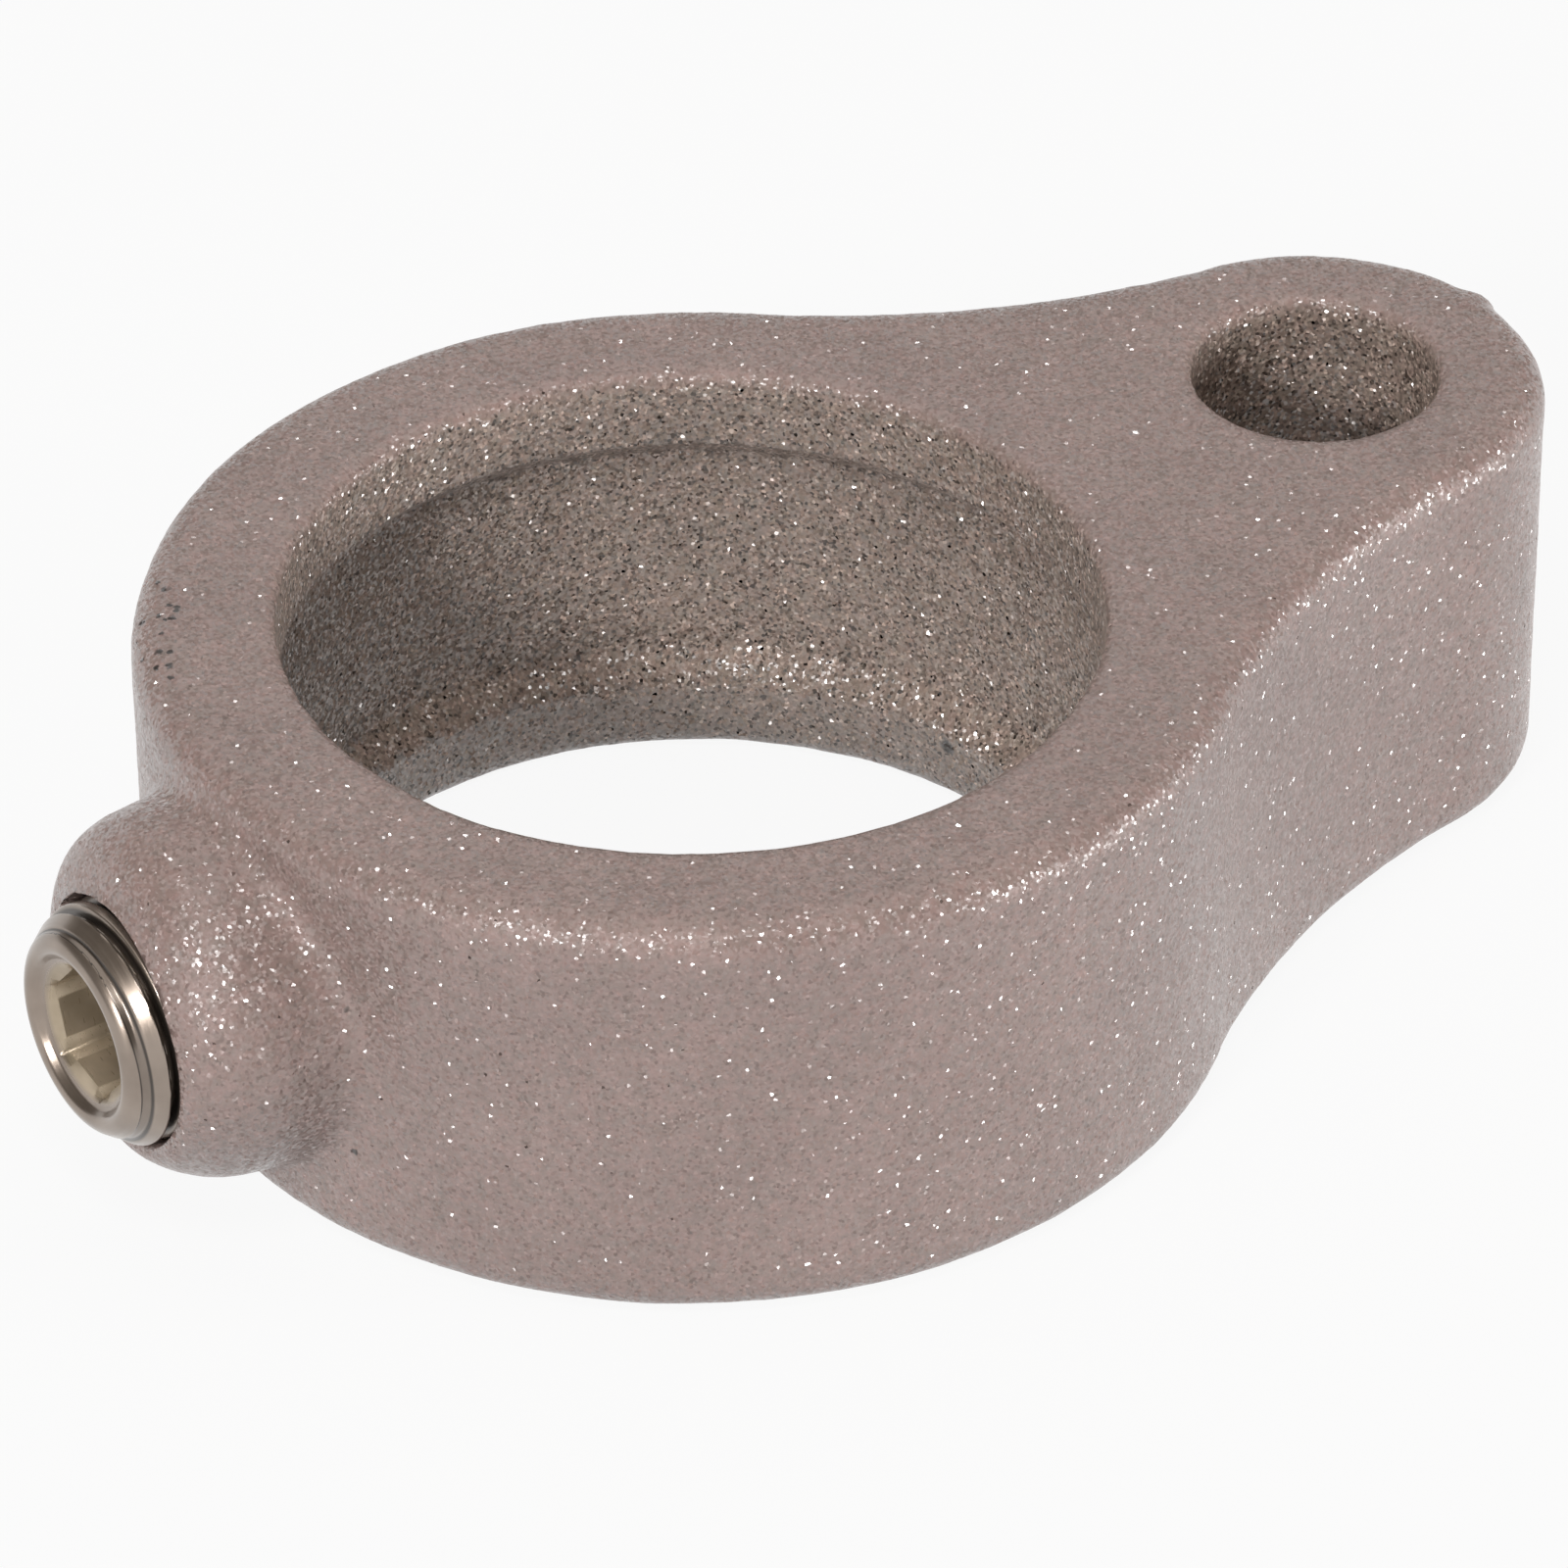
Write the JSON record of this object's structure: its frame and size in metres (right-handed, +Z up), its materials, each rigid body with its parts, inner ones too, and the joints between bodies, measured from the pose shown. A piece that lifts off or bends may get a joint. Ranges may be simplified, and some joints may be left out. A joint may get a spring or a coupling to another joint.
{
  "type": "gate eye pipe clamp",
  "caption": "Cast iron collar that slides on a tube, with a drilled gate eye on one side and a hexagon socket set screw in a domed boss on the other.",
  "frame": {"origin": "axis of the tube bore at half the casting's height", "axes": "+Z up along the tube bore, +X from the tube bore to the eye, the set screw on the -X side"},
  "size_m": [0.0916, 0.0588, 0.025],
  "materials": {
    "casting": "bare shot-blasted casting",
    "plated_steel": "bright plating"
  },
  "bodies": {
    "clamp_body": {"clamp_body": "casting"},
    "set_screw": {"set_screw": "plated_steel"}
  },
  "joints": [
    {"name": "screw_advance", "type": "slide", "parent": "clamp_body", "child": "set_screw", "axis": [1, 0, 0], "range_m": [-0.003, 0.0024]}
  ]
}
